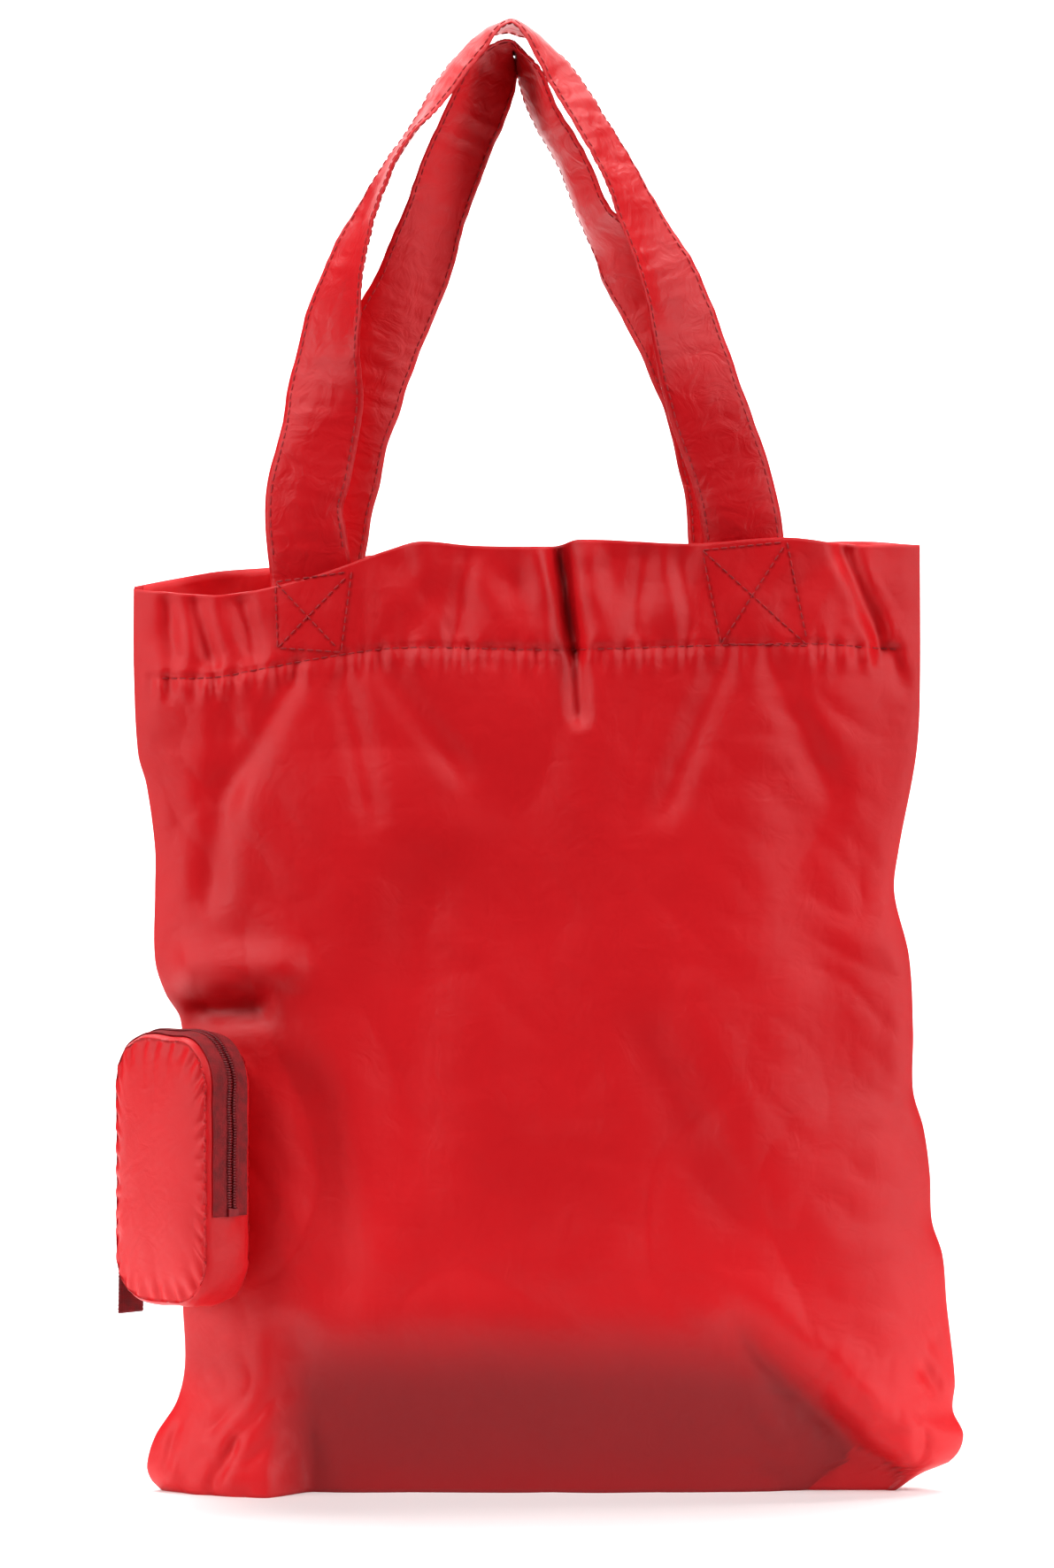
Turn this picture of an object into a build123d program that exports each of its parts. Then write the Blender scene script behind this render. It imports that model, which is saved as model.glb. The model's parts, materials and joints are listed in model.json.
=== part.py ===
from build123d import *
import math
import os

# Foldable tote bag, standing on its base with both handles up.
# Units are millimetres. The origin is the middle of the base, +Z is up and the front faces -Y.

# Cloth thicknesses
CLOTH = 1.2
STRAP_THICKNESS = 1.6
THREAD = 0.35
THREAD_WIDTH = 0.8

# Bag body: height, left seam, right seam and half depth of the body at that height.
# The cloth sags inwards at mid height and spreads again over the base.
STATIONS = [
    (0, -188.5, 188.5, 36),
    (60, -180.5, 191.5, 36),
    (140, -175.5, 181.5, 31),
    (220, -176.5, 172.5, 27),
    (290, -188.5, 168.5, 24),
    (370, -195.5, 172.5, 21),
    (470, -196.5, 174.5, 19),
]
# Half of a body section: share of the width, share of the half depth.
BULGE = [(0.08, 0.62), (0.25, 0.96), (0.5, 1.0), (0.75, 0.96), (0.92, 0.62)]
# How far a seam corner moves in for each millimetre of inset, at its sharp angle.
CORNER_INSET = 2.1

# Rim of the mouth and lower edge of the hem: the left side hangs lower than the right.
RIM = [(-197, 428), (-155, 425), (-115, 433), (-77, 445), (-44, 449), (31, 451), (110, 452), (175, 449)]
HEM_EDGE = [(-197, 383), (-160, 382), (-113, 391), (-70, 396), (-10, 396), (72, 398), (140, 398), (175, 396)]
HEM_STITCH_RISE = 3.5
SEAM_ALLOWANCE = 9
BASE_SEAM_HEIGHT = 8

# Handles: a strap folded flat, sewn inside the hem and folding just above the rim.
STRAP_WIDTH = 38
STRAP_LEFT = -111.5
STRAP_RIGHT = 88
HINGE_LEFT_Z = 446
HINGE_RIGHT_Z = 458
HINGE_GAP = 3
SEWN_END_RISE = 5
BOX_MARGIN = 3

# Route of each strap: x, distance out from the middle plane, z, and the direction of its width
# about the vertical. The strap faces outwards at the rim and is edge-on at the top of its arch.
# The front handle's arch is the taller one, so the back handle nests under it.
FRONT_ROUTE = [
    (-111.5, 15, 436, 0),
    (-111.5, 14.5, 470, 0),
    (-107.5, 13.5, 510, 8),
    (-102, 12, 550, 28),
    (-92, 9, 590, 55),
    (-74.5, 6, 630, 72),
    (-48, 3, 668, 82),
    (-18.5, 1, 692, 90),
    (9, 3, 669, 104),
    (29, 6, 631, 118),
    (49, 9, 588, 134),
    (64, 11, 545, 160),
    (79, 13, 500, 176),
    (87, 14.5, 470, 180),
    (88, 15, 446, 180),
]
BACK_ROUTE = [
    (-111.5, 15, 436, 0),
    (-109, 14.5, 470, 0),
    (-99, 14, 510, 4),
    (-82, 13, 545, 12),
    (-62, 12, 580, 30),
    (-50, 10, 612, 45),
    (-38, 7, 645, 65),
    (-20, 3, 671, 90),
    (-1, 6, 652, 105),
    (14, 9, 622, 125),
    (31, 12, 588, 152),
    (50, 13, 554, 166),
    (70, 14, 514, 176),
    (84, 14.5, 474, 180),
    (88, 15, 446, 180),
]

# Storage pouch, standing on edge at the left side seam and turned half way to the front.
POUCH_X = -173.5
POUCH_Y = -27
POUCH_TURN = -45
POUCH_WIDTH = 70
POUCH_DEPTH = 28
POUCH_BOTTOM = 90
POUCH_TOP = 220
POUCH_CORNER = 22
POUCH_EDGE = 5
POUCH_HINGE_X = -21.5
SEAM_STRIP_WIDTH = 7
SEAM_STRIP_GAP = 0.6
SEAM_STRIP_BOTTOM = 100
SEAM_STRIP_TOP = 214

# Coil zip in the pouch's wall, from the near side over the top to the far side.
TAPE_EDGE = 9
CHAIN_GAP = 1.2
COIL_WIDTH = 6
COIL_HEIGHT = 1.4
ZIP_NEAR_END = 135
ZIP_FAR_END = 128
STOP_LENGTH = 3.5
SLIDER_LENGTH = 11
SLIDER_WIDTH = 10
SLIDER_PLATE = 1.8
SLIDER_CLEARANCE = 0.4
SLIDER_Z = 138
BRIDGE_WIDTH = 0.5
BAIL_OUTER = 3.4
BAIL_INNER = 2.2
BAIL_WIDTH = 2
PULL_BAR = 0.6
PULL_WIDTH = 6
PULL_LENGTH = 15
PULL_SIDE_GAP = 0.5
PULL_ARM_LENGTH = 6

# Ribbed webbing tab on the pouch's far wall.
TAB_WIDTH = 15
TAB_THICKNESS = 1.4
TAB_TOP = 116
TAB_BOTTOM = 85
TAB_ANCHOR_HEIGHT = 8
TAB_FOLD_GAP = 2.4
TAB_GAP = 0.4
RIB_PITCH = 3
RIB_DEPTH = 0.3

# A block this large reaches past the whole bag.
WIDE = 600


def save(shape, name):
    """Write one piece, as a solid or a group of solids, to its own file."""
    solids = shape.solids()
    export_step(solids[0] if len(solids) == 1 else Compound(children=list(solids)), f"parts/{name}.step")


def block(x_range, y_range, z_range):
    """Box between two corners."""
    size = [high - low for low, high in (x_range, y_range, z_range)]
    middle = [(high + low) / 2 for low, high in (x_range, y_range, z_range)]
    return Pos(*middle) * Box(*size)


def front_half():
    return block((-WIDE, WIDE), (-WIDE, 0), (-WIDE, 2 * WIDE))


def back_half():
    return block((-WIDE, WIDE), (0, WIDE), (-WIDE, 2 * WIDE))


# ---------------------------------------------------------------- bag body


def body_section(station, inset):
    """One level section of the body, moved inwards by an inset."""
    height, left, right, depth = station
    left += CORNER_INSET * inset
    right -= CORNER_INSET * inset
    depth -= inset
    width = right - left
    front = [(left + share * width, -bulge * depth) for share, bulge in BULGE]
    back = [(x, -y) for x, y in reversed(front)]
    outline = Spline((left, 0), *front, (right, 0)) + Spline((right, 0), *back, (left, 0))
    return Pos(0, 0, height) * make_face(outline)


def body_block(inset):
    """The body's solid volume, moved inwards by an inset."""
    return loft([body_section(station, inset) for station in STATIONS])


def under_curve(points, rise=0):
    """Everything below a curve that runs from left to right."""
    raised = [(x, z + rise) for x, z in points]
    first, last = raised[0], raised[-1]
    wide_left = (-WIDE, first[1])
    wide_right = (WIDE, last[1])
    outline = Spline(*raised) + Polyline(last, wide_right, (WIDE, -WIDE), (-WIDE, -WIDE), wide_left, first)
    return extrude(Plane.XZ * make_face(outline), WIDE, both=True)


def under_hinge(rise):
    """Everything below a plane that is parallel to the handles' fold line."""
    slope = (HINGE_RIGHT_Z - HINGE_LEFT_Z) / (STRAP_RIGHT - STRAP_LEFT)
    middle_z = HINGE_LEFT_Z - slope * STRAP_LEFT + rise
    corners = [(-WIDE, middle_z - slope * WIDE), (WIDE, middle_z + slope * WIDE), (WIDE, -WIDE), (-WIDE, -WIDE)]
    return extrude(Plane.XZ * make_face(Polyline(*corners, close=True)), WIDE, both=True)


def body_panels(skin, lining, below_rim):
    """Front and back panels, from the base panel up to the rim."""
    wall = (skin - lining) & below_rim & block((-WIDE, WIDE), (-WIDE, WIDE), (CLOTH, WIDE))
    return wall & front_half(), wall & back_half()


def side_seams(lining, below_rim):
    """Seam allowance that stands inwards from each side corner."""
    left, right = [], []
    for height, left_x, right_x, _ in STATIONS:
        corner = CORNER_INSET * CLOTH
        size = Rectangle(SEAM_ALLOWANCE, CLOTH)
        left.append(Pos(left_x + corner + SEAM_ALLOWANCE / 2 - 1, 0, height) * size)
        right.append(Pos(right_x - corner - SEAM_ALLOWANCE / 2 + 1, 0, height) * size)
    reach = lining & below_rim & block((-WIDE, WIDE), (-WIDE, WIDE), (CLOTH + BASE_SEAM_HEIGHT, WIDE))
    return loft(left) & reach, loft(right) & reach


def hem_bands(lining, below_rim, below_hem, seams):
    """Doubled band inside the mouth, front and back."""
    band = ((lining - body_block(2 * CLOTH)) & below_rim) - below_hem
    for seam in seams:
        band -= seam
    return band & front_half(), band & back_half()


def hem_stitches(skin):
    """Row of thread on the outside, along the lower edge of the hem."""
    low = under_curve(HEM_EDGE, HEM_STITCH_RISE)
    high = under_curve(HEM_EDGE, HEM_STITCH_RISE + THREAD_WIDTH)
    row = ((body_block(-THREAD) - skin) & high) - low
    return row & front_half(), row & back_half()


def sewn_ends(below_hem):
    """The strap ends between the hem and the mouth, two in front and two at the back."""
    outer = body_block(2 * CLOTH)
    inner = body_block(2 * CLOTH + STRAP_THICKNESS)
    layer = ((outer - inner) & under_hinge(-HINGE_GAP)) - under_curve(HEM_EDGE, SEWN_END_RISE)
    ends = {}
    for side, middle in (("left", STRAP_LEFT), ("right", STRAP_RIGHT)):
        span = (middle - STRAP_WIDTH / 2, middle + STRAP_WIDTH / 2)
        ends[f"front_handle_end_{side}"] = layer & block(span, (-WIDE, 0), (0, WIDE))
        ends[f"back_handle_end_{side}"] = layer & block(span, (0, WIDE), (0, WIDE))
    return ends


def height_on(points, x):
    """Height of a left-to-right curve above one place, in straight lines between its points."""
    for (x0, z0), (x1, z1) in zip(points, points[1:]):
        if x0 <= x <= x1:
            return z0 + (z1 - z0) * (x - x0) / (x1 - x0)
    return points[-1][1]


def box_stitches(skin):
    """A stitched box with a cross in it, through each sewn strap end."""
    thread_layer = body_block(-THREAD) - skin
    boxes = {}
    for side, middle in (("left", STRAP_LEFT), ("right", STRAP_RIGHT)):
        reach = STRAP_WIDTH / 2 - BOX_MARGIN
        corners = []
        for x in (middle - reach, middle + reach):
            low = height_on(HEM_EDGE, x) + HEM_STITCH_RISE + 2 * THREAD_WIDTH
            high = height_on(RIM, x) - BOX_MARGIN
            corners.append(((x, low), (x, high)))
        (left_low, left_high), (right_low, right_high) = corners
        runs = [
            (left_low, left_high),
            (left_high, right_high),
            (right_high, right_low),
            (right_low, left_low),
            (left_low, right_high),
            (left_high, right_low),
        ]
        rows = Sketch()
        for start, end in runs:
            length = math.dist(start, end)
            angle = math.degrees(math.atan2(end[1] - start[1], end[0] - start[0]))
            middle_x = (start[0] + end[0]) / 2
            middle_z = (start[1] + end[1]) / 2
            rows += Location((middle_x, middle_z, 0), (0, 0, angle)) * Rectangle(length, THREAD_WIDTH)
        prism = extrude(Plane.XZ * rows, WIDE, both=True)
        box = (thread_layer & prism) - under_curve(HEM_EDGE, HEM_STITCH_RISE + THREAD_WIDTH)
        boxes[f"front_box_stitch_{side}"] = box & front_half()
        boxes[f"back_box_stitch_{side}"] = box & back_half()
    return boxes


def base_pieces(skin, lining):
    """Base panel, and the seam allowance that stands up inside its edge."""
    panel = skin & block((-WIDE, WIDE), (-WIDE, WIDE), (0, CLOTH))
    band = (CLOTH, CLOTH + BASE_SEAM_HEIGHT)
    seam = (lining - body_block(2 * CLOTH)) & block((-WIDE, WIDE), (-WIDE, WIDE), band)
    return panel, seam


# ---------------------------------------------------------------- handles


def strap(route):
    """Flat strap along its route, cut off just above the fold line."""
    points = [Vector(x, y, z) for x, y, z, _ in route]
    line = Spline(*points)
    sections = []
    for point, (_, _, _, turn) in zip(points, route):
        along = line.tangent_at(line.param_at_point(point))
        across = Vector(math.cos(math.radians(turn)), math.sin(math.radians(turn)), 0)
        across = across - along * across.dot(along)
        plane = Plane(origin=point, x_dir=across, z_dir=along)
        sections.append(plane * Rectangle(STRAP_WIDTH, STRAP_THICKNESS))
    body = Part()
    for lower, upper in zip(sections, sections[1:]):
        body += loft([lower, upper], ruled=True)
    return body - under_hinge(HINGE_GAP)


# ---------------------------------------------------------------- pouch


def placed(shape):
    """Move a piece from the pouch's own frame to its place on the bag.

    In its own frame the pouch's width runs along X, its front face looks along -Y,
    its near side is +X and its far side is -X.
    """
    return Location((POUCH_X, POUCH_Y, 0), (0, 0, POUCH_TURN)) * shape


def pouch_outline(inset):
    """Rounded outline of the pouch's face, standing up."""
    width = POUCH_WIDTH - 2 * inset
    height = POUCH_TOP - POUCH_BOTTOM - 2 * inset
    middle = (POUCH_TOP + POUCH_BOTTOM) / 2
    return Pos(0, 0, middle) * (Plane.XZ * RectangleRounded(width, height, POUCH_CORNER - inset))


def pouch_block(inset):
    """The pouch's soft volume, moved inwards by an inset."""
    solid = extrude(pouch_outline(inset), POUCH_DEPTH / 2 - inset, both=True)
    rims = solid.faces().sort_by(Axis.Y)
    return fillet(rims[0].edges() + rims[-1].edges(), POUCH_EDGE - inset)


def zip_zone(rise=0):
    """The part of the pouch's wall that carries the zip."""
    near = block((0, WIDE), (-WIDE, WIDE), (ZIP_NEAR_END + rise, WIDE))
    far = block((-WIDE, 0), (-WIDE, WIDE), (ZIP_FAR_END + rise, WIDE))
    return near + far


def both_sides(low, high):
    """Two slabs on either side of the pouch's middle plane."""
    slabs = (low, high), (-high, -low)
    return [block((-WIDE, WIDE), span, (0, WIDE)) for span in slabs]


def pouch_pieces():
    shell = pouch_block(0) - pouch_block(CLOTH)
    back_zone, front_zone = both_sides(TAPE_EDGE, WIDE)
    wall = shell - back_zone - front_zone
    back_tape, front_tape = both_sides(CHAIN_GAP / 2, TAPE_EDGE)
    bead = extrude(pouch_outline(-COIL_HEIGHT), COIL_WIDTH / 2, both=True)
    bead -= extrude(pouch_outline(0), COIL_WIDTH, both=True)
    chain = bead & zip_zone(STOP_LENGTH)
    back_coil, front_coil = both_sides(CHAIN_GAP / 2, COIL_WIDTH / 2)
    stops = (bead & zip_zone()) - zip_zone(STOP_LENGTH)
    near_stop = stops & block((0, WIDE), (-WIDE, WIDE), (0, WIDE))
    far_stop = stops & block((-WIDE, 0), (-WIDE, WIDE), (0, WIDE))
    return {
        "pouch_front": shell & front_zone,
        "pouch_back": shell & back_zone,
        "pouch_wall": wall - zip_zone(),
        "zip_tape_front": wall & zip_zone() & front_tape,
        "zip_tape_back": wall & zip_zone() & back_tape,
        "zip_coil_front": chain & front_coil,
        "zip_coil_back": chain & back_coil,
        "zip_top_stop": near_stop,
        "zip_bottom_stop": far_stop,
    }


def slider():
    """Zip slider on the far wall: two plates, side lips, a bridge and a bail for the pull."""
    wall_x = -POUCH_WIDTH / 2
    along = (SLIDER_Z - SLIDER_LENGTH / 2, SLIDER_Z + SLIDER_LENGTH / 2)
    plate_x = wall_x - COIL_HEIGHT - SLIDER_CLEARANCE
    half = SLIDER_WIDTH / 2
    lip = COIL_WIDTH / 2 + SLIDER_CLEARANCE
    under_x = wall_x + CLOTH + SLIDER_CLEARANCE
    body = block((plate_x - SLIDER_PLATE, plate_x), (-half, half), along)
    body += block((plate_x, wall_x - SLIDER_CLEARANCE), (lip, half), along)
    body += block((plate_x, wall_x - SLIDER_CLEARANCE), (-half, -lip), along)
    body += block((under_x, under_x + CLOTH), (-half, half), along)
    bridge_z = (SLIDER_Z + 1, along[1])
    body += block((plate_x, under_x), (-BRIDGE_WIDTH / 2, BRIDGE_WIDTH / 2), bridge_z)
    face_x = plate_x - SLIDER_PLATE
    ring = Circle(BAIL_OUTER) - Circle(BAIL_INNER)
    bail = extrude(Plane.XZ * ring, BAIL_WIDTH / 2, both=True)
    bail = Pos(face_x, 0, SLIDER_Z) * bail
    return body + (bail & block((-WIDE, face_x), (-WIDE, WIDE), (0, WIDE)))


def pull_axis_x():
    """Where the pull turns: the middle of the bail's hole, out from the slider's face."""
    face_x = -POUCH_WIDTH / 2 - COIL_HEIGHT - SLIDER_CLEARANCE - SLIDER_PLATE
    return face_x - BAIL_INNER / 2


def pull():
    """Flat pull that hangs from a cross bar through the bail."""
    x = pull_axis_x()
    bar = Pos(x, 0, SLIDER_Z) * Rot(90, 0, 0) * Cylinder(PULL_BAR, PULL_WIDTH)
    thickness = (x - PULL_BAR, x + PULL_BAR)
    inner = BAIL_WIDTH / 2 + PULL_SIDE_GAP
    arm_end = SLIDER_Z - PULL_ARM_LENGTH
    body = bar
    body += block(thickness, (inner, PULL_WIDTH / 2), (arm_end, SLIDER_Z))
    body += block(thickness, (-PULL_WIDTH / 2, -inner), (arm_end, SLIDER_Z))
    body += block(thickness, (-PULL_WIDTH / 2, PULL_WIDTH / 2), (SLIDER_Z - PULL_LENGTH, arm_end))
    return body


def webbing(z_range):
    """Flat ribbed webbing against the far wall, between two heights."""
    face = -POUCH_WIDTH / 2 - TAB_GAP
    half = TAB_WIDTH / 2
    strip = block((face - TAB_THICKNESS, face), (-half, half), z_range)
    grooves = int(TAB_WIDTH / RIB_PITCH)
    for index in range(1, grooves):
        y = -half + index * RIB_PITCH
        groove_x = (face - TAB_THICKNESS - 1, face - TAB_THICKNESS + RIB_DEPTH)
        strip -= block(groove_x, (y - RIB_DEPTH, y + RIB_DEPTH), z_range)
    return strip


def tab_anchor():
    """Sewn upper end of the webbing, which lies flat on the wall."""
    wall_x = -POUCH_WIDTH / 2
    low = TAB_TOP + TAB_FOLD_GAP
    high = low + TAB_ANCHOR_HEIGHT
    seat = block((wall_x - TAB_GAP, wall_x), (-TAB_WIDTH / 2, TAB_WIDTH / 2), (low, high))
    return seat + webbing((low, high))


def pouch_seam_strip(skin):
    """Strip of cloth that ties the pouch's back to the bag's side seam."""
    back = POUCH_DEPTH / 2
    width = (POUCH_HINGE_X + SEAM_STRIP_GAP, POUCH_HINGE_X + SEAM_STRIP_WIDTH)
    depth = (back + SEAM_STRIP_GAP, back + SEAM_STRIP_WIDTH)
    strip = placed(block(width, depth, (SEAM_STRIP_BOTTOM, SEAM_STRIP_TOP)))
    return (strip - skin).solids().sort_by(Axis.Y)[0]


# ---------------------------------------------------------------- write the pieces

os.makedirs("parts", exist_ok=True)

skin = body_block(0)
lining = body_block(CLOTH)
below_rim = under_curve(RIM)
below_hem = under_curve(HEM_EDGE)

front_panel, back_panel = body_panels(skin, lining, below_rim)
left_seam, right_seam = side_seams(lining, below_rim)
front_hem, back_hem = hem_bands(lining, below_rim, below_hem, (left_seam, right_seam))
front_hem_stitch, back_hem_stitch = hem_stitches(skin)
base_panel, base_seam = base_pieces(skin, lining)

pieces = {
    "front_panel": front_panel,
    "back_panel": back_panel,
    "base_panel": base_panel,
    "base_seam": base_seam,
    "left_seam": left_seam,
    "right_seam": right_seam,
    "front_hem": front_hem,
    "back_hem": back_hem,
    "front_hem_stitch": front_hem_stitch,
    "back_hem_stitch": back_hem_stitch,
    "pouch_seam_strip": pouch_seam_strip(skin),
    "front_handle_strap": mirror(strap(FRONT_ROUTE), about=Plane.XZ),
    "back_handle_strap": strap(BACK_ROUTE),
    "zip_slider": placed(slider()),
    "zip_pull": placed(pull()),
    "webbing_tab": placed(webbing((TAB_BOTTOM, TAB_TOP))),
    "tab_anchor": placed(tab_anchor()),
}
pieces.update(sewn_ends(below_hem))
pieces.update(box_stitches(skin))
pieces.update({name: placed(piece) for name, piece in pouch_pieces().items()})

for name, piece in pieces.items():
    save(piece, name)
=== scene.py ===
import json
import math

import bpy
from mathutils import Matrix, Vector, noise


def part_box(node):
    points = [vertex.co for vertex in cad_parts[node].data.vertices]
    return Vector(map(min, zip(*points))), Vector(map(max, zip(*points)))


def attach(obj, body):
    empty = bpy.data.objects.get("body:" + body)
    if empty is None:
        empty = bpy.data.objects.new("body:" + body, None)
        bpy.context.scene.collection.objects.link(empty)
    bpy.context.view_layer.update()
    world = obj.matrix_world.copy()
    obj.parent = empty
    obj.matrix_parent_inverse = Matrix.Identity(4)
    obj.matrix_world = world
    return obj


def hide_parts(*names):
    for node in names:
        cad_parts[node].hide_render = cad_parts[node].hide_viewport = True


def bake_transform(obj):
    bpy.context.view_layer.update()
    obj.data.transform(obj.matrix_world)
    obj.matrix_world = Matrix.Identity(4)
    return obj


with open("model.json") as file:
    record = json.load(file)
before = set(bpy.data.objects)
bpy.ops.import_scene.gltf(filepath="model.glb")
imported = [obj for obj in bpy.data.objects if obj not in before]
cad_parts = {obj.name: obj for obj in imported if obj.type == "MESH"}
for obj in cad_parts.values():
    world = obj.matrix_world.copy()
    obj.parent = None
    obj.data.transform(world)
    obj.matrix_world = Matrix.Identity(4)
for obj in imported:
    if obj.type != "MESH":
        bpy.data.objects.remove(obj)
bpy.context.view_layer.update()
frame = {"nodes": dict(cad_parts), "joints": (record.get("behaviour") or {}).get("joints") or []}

# Lengths in the tables below are millimetres in the frame, as in the CAD model.
MM = 0.001

# ---------------------------------------------------------------- outlines of the cloth

# Height of each seam corner from the base up, with its x: the cloth bags out over the base.
LEFT_SEAM = [
    (0, -185), (5, -190), (12, -192), (26, -188), (42, -178), (60, -174), (90, -175),
    (200, -175), (224, -176), (236, -183), (252, -188), (285, -188), (305, -188), (335, -192),
    (350, -196), (390, -198), (430, -198),
]
RIGHT_SEAM = [
    (0, 164), (8, 176), (14, 190), (26, 196), (38, 191), (52, 192), (89, 188), (112, 186),
    (128, 181), (150, 180), (172, 177), (190, 172), (218, 172), (254, 170), (284, 163),
    (304, 165), (347, 173), (375, 175), (450, 175),
]
HALF_DEPTH = [
    (0, 34), (60, 36), (140, 31), (220, 27), (290, 24), (370, 21), (450, 19),
]
RIM = [
    (-199, 428), (-155, 425), (-115, 433), (-77, 446), (-62, 450), (-36, 448), (2, 448),
    (13, 451), (64, 449), (110, 452), (140, 449), (175, 449),
]
BACK_RIM = [
    (-199, 429), (-180, 433), (-157, 437), (-131, 439), (-60, 447), (64, 449), (145, 451),
    (175, 449),
]
HEM = [
    (-199, 386), (-160, 386), (-137, 390), (-110, 395), (-71, 400), (2, 399), (72, 401),
    (122, 402), (154, 400), (175, 399),
]

# Folds pressed into the front: start, end, half width and depth. A negative depth stands out.
FRONT_FOLDS = [
    ((3, 452), (11, 398), 4.5, 9),
    ((11, 398), (13, 365), 5, 5),
    ((-6, 452), (-2, 402), 7, -3),
    ((20, 450), (22, 400), 8, -3.5),
    ((136, 452), (158, 399), 5, 6),
    ((158, 399), (172, 380), 6, 4),
    ((-176, 228), (-134, 231), 7, 8),
    ((-180, 246), (-120, 250), 12, -5),
    ((41, 226), (88, 122), 15, 3),
    ((62, 240), (112, 128), 18, -2.5),
    ((86, 82), (168, 8), 12, 7),
    ((100, 92), (178, 26), 12, -4),
    ((-148, 27), (-161, 3), 3.5, 3),
    ((-176, 42), (-184, 8), 3, 3),
    ((-123, 80), (-135, 10), 10, 4),
    ((182, 75), (194, 52), 4, 4),
    ((176, 60), (192, 36), 4, 4),
    ((150, 34), (188, 22), 4, 3),
    ((-118, 394), (-152, 330), 7, 3),
    ((-100, 396), (-84, 318), 8, 3),
    ((-86, 398), (-40, 340), 8, 2.5),
    ((84, 400), (52, 322), 8, 3),
    ((100, 400), (134, 326), 8, 3),
    ((-168, 425), (-160, 392), 5, 4),
    ((-182, 424), (-178, 392), 5, 3),
    ((-146, 424), (-140, 394), 5, 3),
    ((-38, 446), (-46, 404), 6, 3),
    ((44, 446), (38, 404), 6, 3),
    ((60, 444), (66, 404), 5, 2.5),
    ((-60, 300), (-74, 130), 22, 4),
    ((-20, 350), (4, 180), 24, 3),
    ((118, 340), (136, 190), 18, 4),
    ((-150, 370), (-162, 280), 9, 4),
    ((-120, 200), (-96, 90), 15, 4),
]


def value_on(points, t):
    """Smooth curve through (position, value) points, held flat beyond its ends."""
    if t <= points[0][0]:
        return points[0][1]
    if t >= points[-1][0]:
        return points[-1][1]
    index = next(i for i in range(1, len(points)) if t <= points[i][0])
    (t0, a), (t1, b) = points[index - 1], points[index]
    before = points[max(index - 2, 0)]
    after = points[min(index + 1, len(points) - 1)]
    slope_a = (b - before[1]) / (t1 - before[0])
    slope_b = (after[1] - a) / (after[0] - t0)
    span = t1 - t0
    s = (t - t0) / span
    return (
        a * (1 + 2 * s) * (1 - s) ** 2
        + b * s * s * (3 - 2 * s)
        + span * slope_a * s * (1 - s) ** 2
        - span * slope_b * s * s * (1 - s)
    )


def smooth_step(low, high, t):
    s = min(max((t - low) / (high - low), 0), 1)
    return s * s * (3 - 2 * s)


def hump(distance, width):
    return math.exp(-((distance / width) ** 2))


def fold_depth(x, z):
    """How far the listed folds push the front in."""
    total = 0
    for (x0, z0), (x1, z1), width, depth in FRONT_FOLDS:
        along_x, along_z = x1 - x0, z1 - z0
        length_2 = along_x**2 + along_z**2
        s = ((x - x0) * along_x + (z - z0) * along_z) / length_2
        reach = smooth_step(-0.2, 0.15, s) * (1 - smooth_step(0.85, 1.2, s))
        if reach > 0:
            s = min(max(s, 0), 1)
            total += depth * reach * hump(math.hypot(x - x0 - s * along_x, z - z0 - s * along_z), width)
    return total


def ridges(x, z, size, seed):
    """Sharp-crested wrinkles of one size, from -1 to 1."""
    value = noise.noise(Vector((x / size, seed, z / size)))
    return 1 - 3.2 * abs(value)


def gathers(x, z):
    """Small puckers along the hem's stitch row, and soft dimples in the hem band."""
    hem = value_on(HEM, x)
    row = hump(z - hem + 3, 7)
    pucker = math.sin(x * 0.62 + 2.4 * noise.noise(Vector((x / 22, 3, 0))))
    dimple = noise.noise(Vector((x / 17, 9, z / 22))) * smooth_step(hem - 14, hem + 6, z)
    groove = 1.4 * hump(z - hem, 1.8)
    return 1.1 * row * pucker + 2.9 * dimple + groove


# The middle of the front's lower edge is tucked under, and the tuck ends on a slant to the right.
TUCK_END_X, TUCK_END_Z = 80, 82
TUCK_DEPTH = 25


def tuck_share(x, z, left, right):
    """Share of the tuck at this place: left and right are the spans over which it fades."""
    past_end = x - TUCK_END_X - (TUCK_END_Z - z)
    return smooth_step(*left, x) * (1 - smooth_step(*right, past_end))


def cloth_depth(x, z, side):
    """How far the cloth lies inside its plain bulging section, by position."""
    seed = 5 + 20 * (side > 0)
    warp = 26 * noise.noise(Vector((x / 90, seed, z / 90)))
    outer = smooth_step(60, 170, abs(x + 10))
    low = 1.25 * ridges(x + warp, z * 0.7 - warp, 62, seed)
    fine = (0.2 + 0.4 * outer) * ridges(x * 0.9 + z * 0.5, z * 0.8 + warp, 24, seed + 3)
    crumple = 1.3 * ridges(x, z, 16, seed + 6) * (1 - smooth_step(30, 100, z)) * outer
    sewn = max(hump(x + 113, 24), hump(x - 95, 24)) * smooth_step(385, 400, z)
    depth = (low + fine + crumple + gathers(x, z)) * (1 - 0.65 * sewn)
    if side < 0:
        depth += fold_depth(x, z)
        middle = tuck_share(x, z, (-135, -112), (0, 26))
        depth += TUCK_DEPTH * middle * (1 - smooth_step(4, 92, z))
    return depth


# Upper end of the long slanting crease on the front, and the direction across it.
CREASE_X, CREASE_Z = 41, 226
CREASE_ACROSS_X, CREASE_ACROSS_Z = 0.91, 0.41
DARKEST_SHADE = 0.85


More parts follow.
